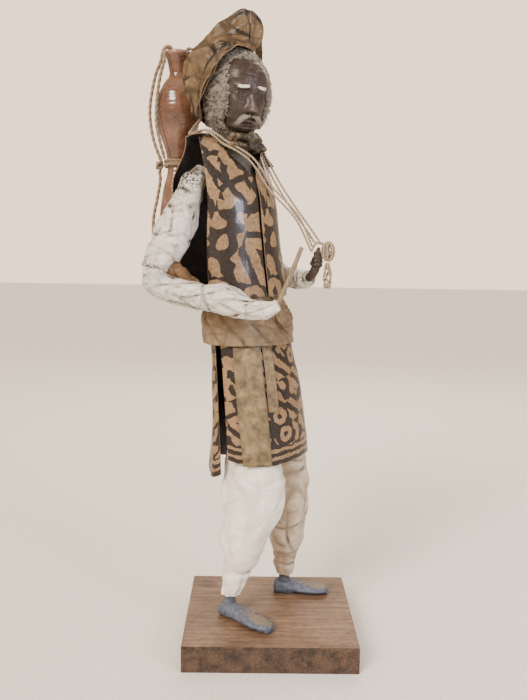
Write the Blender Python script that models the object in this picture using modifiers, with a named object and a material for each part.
# A papier-mache figure of an old water carrier on a square wooden base.
# Units are metres and +Z is up. The origin is the centre of the base's underside. The figure is
# modelled about its own axis, an empty on the base: local +X is forward, +Y its left side, +Z up.

import bpy
import bmesh
from math import sin, cos, pi, radians, sqrt
from mathutils import Vector

mm = 0.001
gap = 0.3 * mm                        # kept between pieces that touch

# base board
base_side = 115 * mm
base_thick = 18 * mm
base_edge = 0.8 * mm                  # eased edge

# where the figure stands on the board, and which way it faces
stand_x = -20 * mm
stand_y = 10 * mm
facing = radians(-45)

# shoes
right_shoe_length = 45 * mm
left_shoe_length = 40 * mm
right_heel = (4.0, -23.5)             # (forward, left) in millimetres
left_heel = (4.0, 29.5)
right_heading = radians(5)
left_heading = radians(43)

# armature wire
wire_radius = 1.0 * mm
wire_depth = 11 * mm                  # how deep a leg wire sits in the board

# sheet materials
cloth_thick = 0.8 * mm                # varnished paper cloth of the vest and skirt
wrap_thick = 1.2 * mm
hat_thick = 0.9 * mm

# heights above the board
shoe_height = 11 * mm
cuff_height = 16 * mm
skirt_hem = 110 * mm
skirt_top = 198 * mm
wrap_bottom = 189 * mm
wrap_top = 226 * mm
vest_hem = 221 * mm
vest_top = 326 * mm
neck_foot = 321 * mm
head_middle = 354 * mm
hair_foot = 333.5 * mm

# vest
vest_half_width = 33.5 * mm
vest_front_depth = 22 * mm
vest_back_depth = 30 * mm
shoulder_half_width = 36 * mm
neck_hole = 19 * mm

# head
head_half_width = 17 * mm
head_half_depth = 20 * mm
head_half_height = 25 * mm
hair_thick = 6.5 * mm

# water jar
jar_height = 162 * mm
jar_bulb_radius = 15.6 * mm
jar_low_radius = 14.5 * mm
jar_rim_radius = 9.0 * mm
jar_neck_radius = 6.6 * mm
jar_waist_radius = 7.2 * mm
jar_wall = 2.2 * mm
jar_clear = 5.0 * mm                  # between the jar and the vest's back

# stick and cords
stick_radius = 1.6 * mm
cord_radius = 0.75 * mm
twine_radius = 1.2 * mm
cord_spacing = 4.5 * mm               # between a cord's points
twine_spacing = 7 * mm


for old in list(bpy.data.objects):
    bpy.data.objects.remove(old)

scene_root = bpy.context.scene.collection
parts = bpy.data.collections.new("water_carrier_figure")
cutters = bpy.data.collections.new("cutters")
scene_root.children.link(parts)
scene_root.children.link(cutters)


# helpers

def finish(name, colour, roughness, metallic=0.0):
    material = bpy.data.materials.new(name)
    material.use_nodes = True
    shader = material.node_tree.nodes["Principled BSDF"]
    shader.inputs["Base Color"].default_value = (*colour, 1.0)
    shader.inputs["Roughness"].default_value = roughness
    shader.inputs["Metallic"].default_value = metallic
    return material


def place(name, data, material, parent=None, collection=parts):
    piece = bpy.data.objects.new(name, data)
    if material:
        piece.data.materials.append(material)
    if parent:
        piece.parent = parent
    collection.objects.link(piece)
    return piece


def mesh_from(name, form, angle=35):
    mesh = bpy.data.meshes.new(name)
    bmesh.ops.recalc_face_normals(form, faces=form.faces)
    form.to_mesh(mesh)
    form.free()
    mesh.shade_smooth()
    mesh.set_sharp_from_angle(angle=radians(angle))
    return mesh


def point(forward, left, up):
    return Vector((forward, left, up)) * mm


def level(forward, left, up, half_deep, half_wide):
    # a level elliptical ring as (centre, half axis, half axis), sizes given in millimetres
    return point(forward, left, up), point(half_deep, 0, 0), point(0, half_wide, 0)


def along(stations, first=None, last=None):
    # round rings square to a path; a station is (forward, left, up, radius) in millimetres
    centres = [point(*station[:3]) for station in stations]
    rings = []
    for index, centre in enumerate(centres):
        before = centres[max(index - 1, 0)]
        after = centres[min(index + 1, len(centres) - 1)]
        way = (after - before).normalized()
        if first and index == 0:
            way = Vector(first).normalized()
        if last and index == len(centres) - 1:
            way = Vector(last).normalized()
        across = way.cross(Vector((0, 0, 1))).normalized()
        deep = across.cross(way).normalized()
        size = stations[index][3] * mm
        rings.append((centre, across * size, deep * size))
    return rings


def skin_rings(form, loops, closed_path=False):
    # quads between neighbouring loops of the same length
    pairs = list(zip(loops, loops[1:]))
    if closed_path:
        pairs.append((loops[-1], loops[0]))
    sides = len(loops[0])
    for lower, upper in pairs:
        for step in range(sides):
            after = (step + 1) % sides
            form.faces.new((lower[step], lower[after], upper[after], upper[step]))


def loft(name, rings, material, parent, sides=16, collection=parts):
    # a closed body through elliptical rings, with flat ends
    form = bmesh.new()
    loops = []
    for centre, across, deep in rings:
        turns = [2 * pi * step / sides for step in range(sides)]
        loops.append([form.verts.new(centre + across * cos(a) + deep * sin(a)) for a in turns])
    skin_rings(form, loops)
    form.faces.new(loops[0])
    form.faces.new(loops[-1])
    return place(name, mesh_from(name, form), material, parent, collection)


def thicken(piece, thickness):
    solid = piece.modifiers.new("thickness", "SOLIDIFY")
    solid.thickness = thickness
    solid.offset = 0.0
    return piece


def sheet(name, surface, columns, rows, thickness, material, leave_out=None):
    # a thin sheet on the figure; surface(u, v) gives a point for u and v from 0 to 1
    form = bmesh.new()
    bmesh.ops.create_grid(form, x_segments=columns, y_segments=rows, size=0.5)
    for vertex in form.verts:
        vertex.co = surface(vertex.co.x + 0.5, vertex.co.y + 0.5)
    if leave_out:
        unwanted = [face for face in form.faces if leave_out(face.calc_center_median())]
        bmesh.ops.delete(form, geom=unwanted, context="FACES")
    return thicken(place(name, mesh_from(name, form, 60), material, figure), thickness)


def band(name, surface, columns, rows, thickness, material, pole=None):
    # a sheet that closes on itself in u; with a pole it closes over v = 0 as a dome
    form = bmesh.new()
    loops = []
    for row in range(1 if pole else 0, rows + 1):
        loops.append([form.verts.new(surface(column / columns, row / rows)) for column in range(columns)])
    skin_rings(form, loops)
    if pole:
        top = form.verts.new(pole)
        for column in range(columns):
            form.faces.new((top, loops[0][column], loops[0][(column + 1) % columns]))
    return thicken(place(name, mesh_from(name, form, 60), material, figure), thickness)


def ball(name, centre, radii, material, segments=20, rings=12, collection=parts):
    form = bmesh.new()
    bmesh.ops.create_uvsphere(form, u_segments=segments, v_segments=rings, radius=1.0)
    for vertex in form.verts:
        vertex.co = centre + Vector([vertex.co[axis] * radii[axis] for axis in range(3)])
    return place(name, mesh_from(name, form), material, figure, collection)


def block(name, low, high, collection=cutters):
    form = bmesh.new()
    bmesh.ops.create_cube(form, size=1.0)
    for vertex in form.verts:
        vertex.co = Vector([between(low[axis], high[axis], vertex.co[axis] + 0.5) for axis in range(3)])
    return place(name, mesh_from(name, form), None, figure, collection)


def smooth_route(points, spacing=cord_spacing):
    # points about one spacing apart on a smooth curve through hand-chosen ones, in millimetres
    chosen = [point(*place_at) for place_at in points]
    ends = [chosen[0] * 2 - chosen[1]] + chosen + [chosen[-1] * 2 - chosen[-2]]
    route = []
    for a, b, c, d in zip(ends, ends[1:], ends[2:], ends[3:]):
        steps = max(1, round((c - b).length / spacing))
        for step in range(steps):
            t = step / steps
            route.append(0.5 * (2 * b + (c - a) * t + (2 * a - 5 * b + 4 * c - d) * t ** 2
                                + (3 * b - a - 3 * c + d) * t ** 3))
    return route + [chosen[-1]]


def tube(name, route, radius, material, parent, closed=False, collection=parts):
    curve = bpy.data.curves.new(name, "CURVE")
    curve.dimensions = "3D"
    curve.bevel_depth = radius
    curve.bevel_resolution = 2
    curve.use_fill_caps = not closed
    spline = curve.splines.new("POLY")
    spline.points.add(len(route) - 1)
    for spline_point, place_at in zip(spline.points, route):
        spline_point.co = (*place_at, 1.0)
    spline.use_cyclic_u = closed
    return place(name, curve, material, parent, collection)


def bore_cutter(name, route, radius):
    # a mesh tube for a hole that another piece runs through
    guide = tube(name + "_guide", route, radius, None, figure, collection=cutters)
    bpy.context.view_layer.update()
    evaluated = guide.evaluated_get(bpy.context.evaluated_depsgraph_get())
    mesh = bpy.data.meshes.new_from_object(evaluated)
    form = bmesh.new()
    form.from_mesh(mesh)
    bmesh.ops.remove_doubles(form, verts=form.verts, dist=0.00001)
    form.to_mesh(mesh)
    form.free()
    bpy.data.objects.remove(guide)
    return place(name, mesh, None, figure, cutters)


def cut(piece, cutter):
    modifier = piece.modifiers.new("cut_" + cutter.name, "BOOLEAN")
    modifier.operation = "DIFFERENCE"
    modifier.solver = "EXACT"
    modifier.object = cutter
    cutter.hide_render = True
    cutter.display_type = "WIRE"


def between(low, high, share):
    return low + (high - low) * share


def ease(share):
    share = min(max(share, 0.0), 1.0)
    return share * share * (3 - 2 * share)


# finishes

wood = finish("stained_pine", (0.40, 0.26, 0.15), 0.6)
steel = finish("steel_wire", (0.45, 0.45, 0.45), 0.4, 1.0)
shoe_paint = finish("slate_blue_paint", (0.11, 0.14, 0.20), 0.55)
clay = finish("dark_clay", (0.10, 0.075, 0.06), 0.4)
white_paper = finish("white_paper", (0.80, 0.77, 0.68), 0.55)
core_paper = finish("crushed_newspaper", (0.45, 0.42, 0.38), 0.8)
printed_cloth = finish("printed_paper_cloth", (0.36, 0.24, 0.14), 0.3)
kraft = finish("kraft_paper", (0.35, 0.23, 0.13), 0.5)
sash_paper = finish("khaki_sash", (0.36, 0.27, 0.16), 0.6)
hair_fibre = finish("grey_fibre", (0.35, 0.33, 0.30), 0.8)
jar_clay = finish("glazed_red_clay", (0.28, 0.15, 0.10), 0.2)
jute = finish("jute_cord", (0.48, 0.38, 0.25), 0.8)
stick_wood = finish("twig", (0.34, 0.24, 0.14), 0.6)
scarf_cloth = finish("dark_scarf", (0.16, 0.13, 0.08), 0.5)


# base board and the axis the figure is built on

def base_board():
    bpy.ops.mesh.primitive_cube_add(size=1.0, location=(0, 0, base_thick / 2))
    piece = bpy.context.active_object
    piece.name = "base_block"
    piece.scale = (base_side, base_side, base_thick)
    bpy.ops.object.transform_apply(location=False, rotation=False, scale=True)
    for owner in piece.users_collection:
        owner.objects.unlink(piece)
    parts.objects.link(piece)
    piece.data.materials.append(wood)
    eased = piece.modifiers.new("eased_edges", "BEVEL")
    eased.width = base_edge
    eased.segments = 2
    return piece


base_block = base_board()
figure = bpy.data.objects.new("figure_axis", None)
figure.location = (stand_x, stand_y, base_thick)
figure.rotation_euler = (0, 0, facing)
scene_root.objects.link(figure)


# feet and legs

def shoe(name, heel, heading, length):
    way = Vector((cos(heading), sin(heading), 0))
    side = Vector((-sin(heading), cos(heading), 0))
    start = point(*heel, 0)
    # share of the length, half width in millimetres, share of the height
    outline = ((0.0, 3.0, 0.68), (0.06, 5.2, 0.95), (0.22, 6.3, 1.0), (0.38, 6.4, 0.86),
               (0.55, 7.2, 0.73), (0.72, 7.6, 0.60), (0.88, 6.2, 0.45), (0.97, 3.8, 0.35), (1.0, 1.6, 0.27))
    rings = []
    for share, half_wide, rise in outline:
        half_tall = Vector((0, 0, rise * shoe_height / 2))
        middle = start + way * (share * length) + half_tall + Vector((0, 0, gap))
        rings.append((middle, side * half_wide * mm, half_tall))
    return loft(name, rings, shoe_paint, figure, sides=14)


right_shoe = shoe("right_shoe", right_heel, right_heading, right_shoe_length)
left_shoe = shoe("left_shoe", left_heel, left_heading, left_shoe_length)


def ankle(name, forward, left):
    low = (shoe_height + 2 * gap) / mm
    high = (cuff_height - gap) / mm
    rings = [level(forward, left, low, 4.2, 3.9), level(forward, left, (low + high) / 2, 3.9, 3.6),
             level(forward, left, high, 3.8, 3.5)]
    return loft(name, rings, clay, figure, sides=12)


right_ankle = ankle("right_ankle", 11.0, -22.0)
left_ankle = ankle("left_ankle", 10.4, 34.0)

cuff = cuff_height / mm
hem = skirt_hem / mm
right_leg = loft("right_trouser_leg", [
    level(10.4, -20.6, cuff, 6.0, 5.6), level(10.6, -19.8, cuff + 3, 6.8, 6.3),
    level(12.0, -16.6, cuff + 11, 9.0, 8.3), level(12.6, -13.6, cuff + 24, 12.6, 11.4),
    level(14.0, -10.6, cuff + 41, 18.0, 16.0), level(15.4, -6.6, hem - 34, 22.8, 19.4),
    level(15.4, -4.8, hem - 18, 23.2, 19.6), level(13.6, -3.8, hem - 4, 20.8, 17.6),
    level(11.6, -2.6, hem + 12, 18.0, 14.6)], white_paper, figure, sides=18)

left_leg = loft("left_trouser_leg", [
    level(10.6, 33.6, cuff, 5.8, 5.4), level(11.0, 33.5, cuff + 5, 6.8, 6.4),
    level(12.0, 33.4, cuff + 21, 11.0, 9.8), level(12.8, 33.4, cuff + 42, 14.2, 12.2),
    level(13.4, 33.4, hem - 30, 15.4, 13.0), level(13.4, 31.6, hem - 3, 13.8, 11.8),
    level(12.0, 28.0, hem + 12, 12.0, 10.4)], white_paper, figure, sides=18)

hip_core = loft("hip_core", [
    level(11.0, 9.4, hem + 13, 18.0, 27.0), level(9.0, 8.0, hem + 30, 19.0, 28.0),
    level(6.0, 5.4, hem + 55, 18.0, 26.0), level(3.0, 2.8, hem + 80, 16.0, 23.0),
    level(1.6, 1.6, hem + 94, 14.5, 21.0)], core_paper, figure)

neck = neck_foot / mm
torso_core = loft("torso_core", [
    level(1.4, 1.4, hem + 95, 14.0, 20.0), level(0.4, 0.4, hem + 116, 13.5, 20.5),
    level(-1.6, -0.6, hem + 152, 14.0, 22.5), level(-4.6, -1.8, neck - 33, 13.0, 23.0),
    level(-7.6, -2.6, neck - 17, 10.0, 19.0), level(-8.2, -3.2, neck - 7, 8.0, 11.5),
    level(-7.2, -3.6, neck - 0.5, 7.2, 7.6)], core_paper, figure)


# the lines that the skirt, the wrap and the vest share

def body_line(height):
    # middle of the dressed body at a height, (forward, left) in metres: it leans back and to its right
    share = min(max((height - skirt_hem) / (vest_top - skirt_hem), -0.1), 1.0)
    return between(10.6, -9.0, share) * mm, between(9.2, -3.5, min(share * 1.35, 1.0)) * mm


def round_body(turn, height, deep, wide):
    # a point at a turn from straight ahead, positive to the figure's left
    forward, left = body_line(height)
    return Vector((forward + deep * cos(turn), left + wide * sin(turn), height))


def skirt_point(turn, height, proud=0.0):
    share = (height - skirt_hem) / (skirt_top - skirt_hem)
    belly = 2.6 * mm * sin(pi * share) * max(0.0, cos(turn * 0.6)) if 0 < share < 1 else 0.0
    deep = between(27.0, 22.4, share) * mm + belly
    wide = between(36.0, 30.4, share) * mm + belly
    return round_body(turn, height, deep + proud, wide + proud)


def skirt_front_point(u, v):
    turn = between(radians(-84 + 4 * sin(pi * v)), radians(94), u)
    edge = skirt_hem + 1.6 * mm * sin(3 * turn)
    return skirt_point(turn, between(edge, skirt_top, v))


def skirt_back_point(u, v):
    turn = between(radians(106), radians(262), u)
    edge = skirt_hem - (9 + 4 * sin(5 * turn)) * mm
    flare = (1 - v) ** 2 * (2 + 7 * sin(pi * u)) * mm
    return skirt_point(turn, between(edge, skirt_top, v), flare)


skirt_front = sheet("skirt_front", skirt_front_point, 16, 6, cloth_thick, printed_cloth)
skirt_back = sheet("skirt_back", skirt_back_point, 14, 6, cloth_thick, printed_cloth)


def wrap_point(u, v, proud=0.0):
    height = between(wrap_bottom, wrap_top, v)
    tuck = ease((v - 0.42) / 0.5)
    deep = between(26.4, 18.8, tuck) * mm + proud
    wide = between(34.2, 27.2, tuck) * mm + proud
    back = Vector((-0.8, -0.8, 0)) * mm * (1 - tuck)
    return round_body(2 * pi * u, height, deep, wide) + back


waist_wrap = band("waist_wrap", wrap_point, 24, 5, wrap_thick, kraft)
cloth_step = cloth_thick + 2 * gap        # from one sheet's middle to the next one lying on it


def wide_end_point(u, v):
    turn = between(radians(-61), radians(-27), u)
    return skirt_point(turn, between(skirt_hem - 1 * mm, wrap_bottom - 1 * mm, v), cloth_step)


def narrow_end_point(u, v):
    turn = between(radians(-23), radians(-11), u) - radians(2) * (1 - v)
    return skirt_point(turn, between(skirt_hem + 35 * mm, wrap_bottom - 1 * mm, v), cloth_step)


def flap_point(u, v):
    turn = between(radians(2), radians(36), u)
    height = between(wrap_bottom + (7 + 9 * abs(2 * u - 1)) * mm, vest_hem - 3 * mm, v)
    share = (height - wrap_bottom) / (wrap_top - wrap_bottom)
    return wrap_point(turn / (2 * pi), share, (wrap_thick + cloth_thick) / 2 + 2 * gap)


sash_wide = sheet("sash_end_wide", wide_end_point, 6, 8, cloth_thick, sash_paper)
sash_narrow = sheet("sash_end_narrow", narrow_end_point, 3, 6, cloth_thick, sash_paper)
sash_flap = sheet("sash_flap", flap_point, 4, 3, cloth_thick, kraft)


# vest: two fronts and a back with the strips that fold over the shoulders

def shoulder_height(left):
    # the right shoulder is held high, the left one drops
    if left < -12 * mm:
        return vest_top + (left + 12 * mm) * 0.05
    if left > 8 * mm:
        return vest_top - (left - 8 * mm) * 0.80
    return vest_top


def vest_front_point(turn, v, shoulder):
    lift = max(0.0, (v - 0.55) / 0.45)
    deep = between(7 * mm, vest_front_depth, cos(pi / 2 * lift))
    wide = between(vest_half_width, shoulder, ease(v))
    forward, left = body_line(between(vest_hem, vest_top, v))
    left = left + wide * sin(turn)
    return Vector((forward + deep * cos(turn), left, between(vest_hem, shoulder_height(left), v)))


def neckline(v):
    # the front opening's edge: straight up the chest, then out to the neck
    return radians(4) + radians(34) * ease((v - 0.72) / 0.28)


def vest_right_point(u, v):
    side = between(radians(-90), radians(-70), ease(v * 1.4))
    return vest_front_point(between(side, -neckline(v), u), v, shoulder_half_width)


def vest_left_point(u, v):
    side = between(radians(88), radians(74), ease(v * 1.4))
    return vest_front_point(between(neckline(v) - radians(4), side, u), v, shoulder_half_width - 5 * mm)


fold_share = 0.86                     # of the back's rows, the rest fold over the shoulders


def vest_back_point(u, v):
    side = between(-1.0, 0.90, u)
    rise = min(v / fold_share, 1.0)
    over = max(0.0, (v - fold_share) / (1 - fold_share))
    wide = between(vest_half_width + 1 * mm, shoulder_half_width, rise)
    forward, left = body_line(between(vest_hem, vest_top, rise))
    left = left + wide * side
    belly = 9 * mm * sin(pi * rise ** 0.8)
    deep = between(22 * mm, vest_back_depth - 9 * mm, rise) + belly
    deep = between(deep, 9 * mm, ease((rise - 0.72) / 0.28)) * (1 - 0.12 * side * side)
    height = between(vest_hem, shoulder_height(left), rise) + 1.5 * cloth_thick * ease(over * 2)
    return Vector((forward - deep + over * 14.5 * mm, left, height))


def over_neck(middle):
    forward, left = body_line(vest_top)
    return abs(middle.y - left) < neck_hole and middle.z > neck_foot - 4 * mm


vest_right = sheet("vest_front_right", vest_right_point, 9, 12, cloth_thick, printed_cloth)
vest_left = sheet("vest_front_left", vest_left_point, 9, 12, cloth_thick, printed_cloth)
vest_back = sheet("vest_back", vest_back_point, 13, 14, cloth_thick, printed_cloth, over_neck)


# arms

upper_cut = (0.15, -0.55, -0.82)      # way through the right elbow's cut
left_cut = (0.5, 0.3, -0.75)
wrist_cut = (1.0, -0.05, 0.15)
right_upper = loft("right_upper_sleeve", along([
    (-13.6, -27.5, 303.0, 6.0), (-13.8, -33.5, 297.5, 8.0), (-13.6, -39.4, 287.8, 9.2),
    (-15.1, -48.2, 266.5, 12.0), (-17.3, -56.2, 250.0, 11.4), (-19.6, -61.6, 241.4, 9.2)],
    last=upper_cut), white_paper, figure)
right_forearm = loft("right_forearm_sleeve", along([
    (-19.4, -62.4, 240.4, 9.2), (-17.4, -64.6, 233.4, 8.8), (-8.4, -59.3, 226.2, 8.0),
    (9.8, -49.6, 222.3, 8.6), (26.8, -41.1, 219.6, 10.0), (39.5, -34.1, 214.9, 6.6),
    (49.5, -28.0, 215.6, 4.8), (55.0, -24.2, 218.0, 3.0)], first=upper_cut), white_paper, figure)
left_upper = loft("left_upper_sleeve", along([
    (-12.0, 24.5, 296.0, 5.6), (-14.5, 29.5, 288.0, 7.2), (-16.5, 34.0, 273.0, 8.2),
    (-16.8, 39.6, 252.0, 8.2), (-16.0, 43.0, 243.0, 7.6)], last=left_cut), white_paper, figure)
left_forearm = loft("left_forearm_sleeve", along([
    (-15.4, 43.5, 241.9, 7.6), (-10.0, 44.6, 235.6, 7.4), (3.0, 43.2, 232.6, 7.2), (17.5, 38.4, 231.6, 7.0),
    (26.6, 35.4, 233.2, 5.6)], first=left_cut, last=wrist_cut), white_paper, figure)
left_hand = loft("left_hand", along([
    (27.6, 35.2, 234.0, 3.4), (31.2, 35.4, 235.4, 3.4), (33.6, 36.2, 241.0, 3.3), (34.2, 36.7, 247.4, 3.3),
    (34.3, 37.0, 252.6, 3.0), (34.2, 37.0, 256.0, 2.0)], first=wrist_cut), clay, figure, sides=12)

stick_route = [point(53.2, -26.0, 214.6), point(56.9, -21.2, 228.4), point(60.6, -17.4, 241.6),
               point(63.2, -13.2, 254.0)]
walking_stick = tube("walking_stick", stick_route, stick_radius, stick_wood, figure)
cut(right_forearm, bore_cutter("stick_bore", stick_route, stick_radius + gap))


# head, scarf and hair

head_forward, head_left = -2.2, -5.0
half_wide, half_deep, half_tall = head_half_width / mm, head_half_depth / mm, head_half_height / mm
head_high = head_middle / mm


def skull_rings(shares, extra=0.0):
    rings = []
    for share in shares:
        size = max(sqrt(1 - abs(share) ** 2.4), 0.25)
        rings.append(level(head_forward, head_left, head_high + share * (half_tall + extra),
                           half_deep * size + extra, half_wide * size + extra))
    return rings


skull_shares = (-0.86, -0.68, -0.45, -0.2, 0.05, 0.3, 0.55, 0.78, 0.93)
neck_rings = [level(-6.6, -3.6, neck, 7.0, 7.2), level(-5.4, -3.9, neck + 8, 6.8, 6.9)]
head = loft("head", neck_rings + skull_rings(skull_shares), clay, figure, sides=20)
moustache = loft("moustache", along([
    (18.0, -12.2, 344.0, 0.5), (20.0, -9.2, 345.4, 1.0), (21.0, -5.0, 346.4, 1.2),
    (20.0, -0.8, 345.4, 1.0), (18.0, 2.2, 344.0, 0.5)]), hair_fibre, figure, sides=8)

hair_centre = point(head_forward - 6.5, head_left, head_high + 2.0)
hair_radii = Vector((head_half_depth + hair_thick - 1 * mm, head_half_width + hair_thick,
                     head_half_height + hair_thick))


def wig():
    piece = ball("hair", hair_centre, hair_radii, hair_fibre, segments=20, rings=12)
    clear = (gap + 0.5 * mm) / mm
    cut(piece, loft("head_hollow", skull_rings((-0.99,) + skull_shares + (0.99,), clear), None, figure,
                    sides=20, collection=cutters))
    brow = head_middle + head_half_height * 0.8
    cut(piece, block("face_opening", hair_centre + Vector((9 * mm, 2.5 * mm - head_half_width, -0.1)),
                     Vector((0.1, hair_centre.y + head_half_width - 2.5 * mm, brow))))
    cut(piece, block("hair_trim", Vector((-0.1, -0.1, 0.2)), Vector((0.1, 0.1, hair_foot))))
    return piece


hair = wig()


def scarf_ring():
    form = bmesh.new()
    segments, sides = 20, 8
    loops = []
    for step in range(segments):
        outward = Vector((cos(2 * pi * step / segments), sin(2 * pi * step / segments), 0))
        middle = point(-5.4, -3.8, neck + 4.6) + outward * 12.4 * mm
        turns = [2 * pi * side / sides for side in range(sides)]
        across, up = outward * 3.6 * mm, Vector((0, 0, 4.2 * mm))
        loops.append([form.verts.new(middle + across * cos(a) + up * sin(a)) for a in turns])
    skin_rings(form, loops, closed_path=True)
    return place("scarf_band", mesh_from("scarf_band", form), scarf_cloth, figure)


scarf_band = scarf_ring()
scarf_knot = ball("scarf_knot", point(14.8, -8.6, neck + 2.4), point(4.4, 6.4, 6.2), scarf_cloth,
                  segments=14, rings=8)


# hat: a crushed crown on the back of the head and a turned-up brim

hat_radii = hair_radii + point(2.6, 2.6, 2.6)
crown_way = Vector((-0.78, -0.24, 0.58)).normalized()            # from the head out of the crown's top
crown_side = crown_way.cross(Vector((0, 0, 1))).normalized()
crown_up = crown_side.cross(crown_way).normalized()


def hat_point(around, tilt, proud):
    rim = crown_up * cos(around) + crown_side * sin(around)
    way = crown_way * cos(tilt) + rim * sin(tilt)
    return hair_centre + Vector([way[axis] * (hat_radii[axis] + proud) for axis in range(3)])


def crown_point(u, v):
    pleat = 0.8 * mm * sin(10 * pi * u) * v
    return hat_point(2 * pi * u, radians(72) * v, 1.5 * mm * (1 - v) + pleat)


hat_crown = band("hat_crown", crown_point, 20, 5, hat_thick, kraft, pole=crown_point(0, 0))

# the brim's outer edge, from low on the right over the peak to behind the left ear, as offsets from
# the hair's centre in hat radii
brim_shares = [(-0.562, -0.900, -0.381), (-0.669, -1.092, 0.235), (-0.544, -0.843, 0.836),
               (-0.189, -0.364, 1.290), (0.256, 0.019, 1.584), (0.488, 0.460, 1.378),
               (0.416, 0.594, 0.938), (-0.011, 0.996, 0.587), (-0.402, 1.111, 0.176)]
brim_edge = smooth_route([[(hair_centre[axis] + share[axis] * hat_radii[axis]) / mm for axis in range(3)]
                          for share in brim_shares], 2 * mm)


def brim_point(u, v):
    outer = brim_edge[round(u * (len(brim_edge) - 1))]
    way = Vector([(outer - hair_centre)[axis] / hat_radii[axis] for axis in range(3)])
    rim = way - crown_way * crown_way.dot(way)
    around = crown_side.dot(rim.normalized())
    up = crown_up.dot(rim.normalized())
    tilt = radians(76)
    inner_way = crown_way * cos(tilt) + (crown_up * up + crown_side * around) * sin(tilt)
    inner = hair_centre + Vector([inner_way[axis] * (hat_radii[axis] + 2.4 * mm) for axis in range(3)])
    return inner.lerp(outer, v)


hat_brim = sheet("hat_brim", brim_point, 26, 3, hat_thick, kraft)


# water jar, hung from the shoulders by its twine

jar_forward = -(vest_back_depth + jar_bulb_radius + jar_clear) - 2.5 * mm
jar_left = -16.0 * mm
jar_foot = 226 * mm
jar_axis = Vector((jar_forward, jar_left, jar_foot))
jar_hinge = bpy.data.objects.new("jar_hinge", None)
jar_hinge.parent = figure
jar_hinge.location = (-20 * mm, jar_left, vest_top + 2 * mm)
scene_root.objects.link(jar_hinge)


def jar():
    # (share of the height, outer radius) from the foot up: a jar pinched at the waist
    low, top = jar_low_radius, jar_bulb_radius
    waist, neck, rim = jar_waist_radius, jar_neck_radius, jar_rim_radius
    outer = [(0.0, low * 0.62), (0.02, low * 0.78), (0.075, low * 0.95), (0.15, low),
             (0.24, low * 0.955), (0.33, low * 0.85), (0.42, low * 0.72), (0.48, waist * 1.10),
             (0.53, waist), (0.58, waist * 1.22),
             (0.66, top * 0.84), (0.745, top), (0.81, top * 0.93), (0.865, top * 0.66), (0.90, neck),
             (0.935, neck * 1.04), (0.97, rim * 0.93), (0.99, rim), (1.0, rim * 0.96)]
    inner = [(share, radius - jar_wall) for share, radius in outer[2:]]
    inner.insert(0, (jar_wall / jar_height, outer[1][1] - jar_wall))
    steps = 16
    form = bmesh.new()
    loops = []
    for share, radius in outer + inner[::-1]:
        turns = [2 * pi * step / steps for step in range(steps)]
        up = share * jar_height
        loops.append([form.verts.new((radius * cos(a), radius * sin(a), up)) for a in turns])
    skin_rings(form, loops)
    form.faces.new(loops[0])
    form.faces.new(loops[-1])
    piece = place("water_jar", mesh_from("water_jar", form), jar_clay, jar_hinge)
    piece.location = jar_axis - jar_hinge.location
    return piece


water_jar = jar()

outer_side = Vector((-0.7071, -0.7071, 0))       # the jar's side that faces away from the figure


def beside_jar(stations, bend=0.0):
    # stations are (distance from the jar's axis, height over its foot) in millimetres, on the outer
    # side, or on the figure's side where the distance is negative; bend turns them about the axis
    across = Vector((-outer_side.y, outer_side.x, 0))
    way = outer_side * cos(bend) + across * sin(bend)
    return [jar_axis / mm + way * distance + Vector((0, 0, height)) for distance, height in stations]


def jar_twine(name, points):
    route = [place_at - jar_hinge.location for place_at in smooth_route(points, twine_spacing)]
    return tube(name, route, twine_radius, jute, jar_hinge)


over_rim = [(4.6, 158.5), (5.1, 163.0), (7.8, 164.8), (10.6, 163.0)]
jar_twine("jar_twine_outer", beside_jar(over_rim + [
    (12.5, 155.0), (15.7, 147.0), (18.4, 135.0), (19.9, 123.0), (19.3, 112.0), (16.6, 99.5), (12.4, 88.6)]))
jar_twine("jar_twine_inner", beside_jar(over_rim + [
    (11.0, 155.0), (13.2, 148.0), (15.8, 136.0), (17.3, 121.0), (16.9, 110.0), (14.2, 99.0),
    (10.8, 88.6)], 0.60))
jar_twine("jar_twine_under", beside_jar([
    (13.0, 80.0), (12.6, 74.0), (14.6, 62.0), (17.2, 49.0), (17.6, 39.0), (16.8, 26.0), (15.8, 14.0),
    (13.2, 2.4), (8.0, -2.6), (0.0, -3.1), (-8.0, -2.6), (-13.2, 2.4), (-15.8, 14.0), (-16.4, 26.0),
    (-15.0, 44.0), (-12.8, 62.0), (-10.8, 80.0)]))
tie_radius = jar_waist_radius + twine_radius + 3 * gap
tie_middle = jar_axis - jar_hinge.location + Vector((0, 0, 0.53 * jar_height))
tie_turns = [2 * pi * step / 20 for step in range(20)]
tie_route = [tie_middle + Vector((cos(a), sin(a), 0)) * tie_radius for a in tie_turns]
jar_tie = tube("jar_waist_tie", tie_route, twine_radius, jute, jar_hinge, closed=True)
knot_radius = 2.5 * mm
knot_sag = Vector((0, 0, 1.5 * mm))
tie_knot = ball("jar_tie_knot", Vector((0, 0, 0)), Vector((1, 1, 1.1)) * knot_radius, jute,
                segments=12, rings=8)
tie_knot.parent = jar_hinge
tie_knot.location = tie_middle - knot_sag + outer_side * (tie_radius + twine_radius + gap + knot_radius)
jar_twine("jar_sling_right", beside_jar([(-4.8, 158.5), (-5.4, 162.8), (-7.8, 164.4), (-10.5, 162.8),
                                         (-10.8, 156.0), (-10.2, 146.0), (-15.6, 134.0), (-17.6, 121.0)])
          + [(-35.0, -17.0, 335.0), (-27.5, -27.0, 329.6), (-21.0, -31.2, 328.4)])
jar_twine("jar_sling_left", beside_jar([(-10.8, 88.6)])
          + [(-38.0, -2.0, 319.5), (-29.0, 6.0, 324.5), (-21.0, 12.8, 326.6)])


# the carrying cords run from the shoulders down to the left hand, two strands a side

def carry_cord(name, points):
    return tube(name, smooth_route(points), cord_radius, jute, figure)


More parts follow.
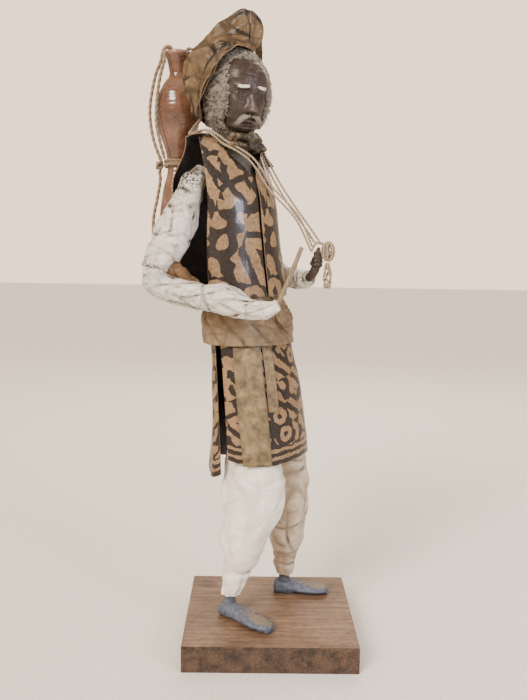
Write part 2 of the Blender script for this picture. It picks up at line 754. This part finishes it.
carry_cord("carry_cord_right_a", [
    (-19.4, -32.0, 328.0), (-12.5, -33.0, 328.6), (-6.0, -33.4, 328.8), (-0.2, -31.4, 325.8),
    (2.0, -24.5, 320.8), (7.5, -17.3, 316.5), (11.5, -9.5, 311.0), (14.0, -3.6, 304.0),
    (18.5, 3.6, 291.8), (29.0, 18.4, 273.0), (32.2, 31.4, 251.6)])
carry_cord("carry_cord_right_b", [
    (-19.4, -29.6, 328.2), (-12.5, -30.6, 329.0), (-6.0, -31.0, 329.2), (0.8, -29.0, 326.4),
    (4.0, -22.6, 322.0), (9.0, -15.8, 317.8), (13.0, -8.0, 312.6), (15.6, -2.0, 305.6),
    (20.2, 5.2, 293.2), (30.2, 19.8, 275.0), (32.6, 32.0, 254.8)])
carry_cord("carry_cord_left_a", [
    (-19.4, 12.4, 326.2), (-13.5, 13.0, 327.4), (-7.0, 13.2, 326.8), (-1.4, 12.6, 322.8),
    (3.4, 10.8, 316.3), (9.0, 12.2, 306.0), (13.6, 15.5, 295.7), (20.5, 20.7, 282.6),
    (30.0, 28.6, 266.0), (32.8, 33.2, 258.2)])
carry_cord("carry_cord_left_b", [
    (-19.4, 14.9, 325.8), (-13.5, 15.6, 326.6), (-7.0, 15.8, 325.8), (-1.0, 15.0, 321.8),
    (5.0, 13.2, 315.0), (10.8, 14.0, 306.6), (15.2, 17.6, 296.6), (22.0, 22.8, 284.0),
    (31.0, 30.6, 268.0), (33.6, 35.2, 261.0)])

bow_forward, bow_left = 40.4, 39.2
cord_bow = loft("cord_bow", [
    level(bow_forward, bow_left, up, size, size) for up, size in
    ((246.0, 1.4), (247.0, 2.0), (250.0, 2.6), (254.5, 2.6), (257.0, 1.9), (257.8, 1.0))],
    jute, figure, sides=12)
tail_hinge = bpy.data.objects.new("tail_hinge", None)
tail_hinge.parent = figure
tail_hinge.location = point(bow_forward, bow_left, 245.0)
scene_root.objects.link(tail_hinge)
cord_tail = loft("cord_tail", [
    level(0, 0, up, size, size) for up, size in
    ((-1.0, 1.2), (-3.5, 2.0), (-10.5, 2.4), (-13.6, 2.0), (-15.0, 3.0), (-17.6, 3.0), (-19.2, 1.6))],
    jute, tail_hinge, sides=12)


# wire armature: it runs from the board up both legs, up the spine and out along both arms

def armature(name, points, hosts):
    route = smooth_route(points, 9 * mm)
    tube(name, route, wire_radius, steel, figure)
    bore = bore_cutter(name + "_bore", route, wire_radius + gap)
    for host in hosts:
        cut(host, bore)


depth = wire_depth / mm
armature("right_leg_wire", [
    (11.0, -22.0, -depth), (11.0, -22.0, 4.0), (11.2, -20.6, cuff + 2), (13.4, -12.6, cuff + 36),
    (14.8, -5.6, hem - 25), (11.8, -2.4, hem + 14), (9.6, 0.0, hem + 30)],
    [base_block, right_shoe, right_ankle, right_leg, hip_core])
armature("left_leg_wire", [
    (10.4, 34.0, -depth), (10.4, 34.0, 4.0), (10.8, 33.6, cuff + 2), (12.6, 33.4, cuff + 36),
    (13.4, 32.8, hem - 25), (12.0, 28.0, hem + 14), (9.6, 22.0, hem + 32)],
    [base_block, left_shoe, left_ankle, left_leg, hip_core])
armature("spine_wire", [
    (4.4, 4.0, hem + 70), (1.5, 1.5, hem + 95), (-1.6, -0.6, hem + 152), (-6.4, -2.4, neck - 20),
    (-6.8, -3.7, neck + 1), (-4.4, -4.4, neck + 18)], [hip_core, torso_core, head])
armature("right_arm_wire", [
    (-6.4, -12.0, 297.0), (-13.0, -26.0, 303.0), (-13.8, -33.5, 297.5), (-13.6, -39.4, 287.8),
    (-15.1, -48.2, 266.5), (-17.3, -56.2, 250.0), (-19.5, -62.0, 240.9), (-17.0, -64.0, 233.6),
    (-8.4, -59.3, 226.2), (9.8, -49.6, 222.3), (26.8, -41.1, 219.6), (36.0, -36.0, 216.8)],
    [torso_core, right_upper, right_forearm])
armature("left_arm_wire", [
    (-6.4, 7.0, 293.0), (-12.0, 23.5, 295.6), (-14.5, 29.5, 288.0), (-16.5, 34.0, 273.0),
    (-16.8, 39.6, 252.0), (-15.7, 43.2, 242.4), (-10.0, 44.6, 235.6), (3.0, 43.2, 232.6),
    (17.5, 38.4, 231.6), (27.0, 35.3, 233.6), (31.6, 35.5, 236.4), (34.0, 36.6, 246.0)],
    [torso_core, left_upper, left_forearm, left_hand])
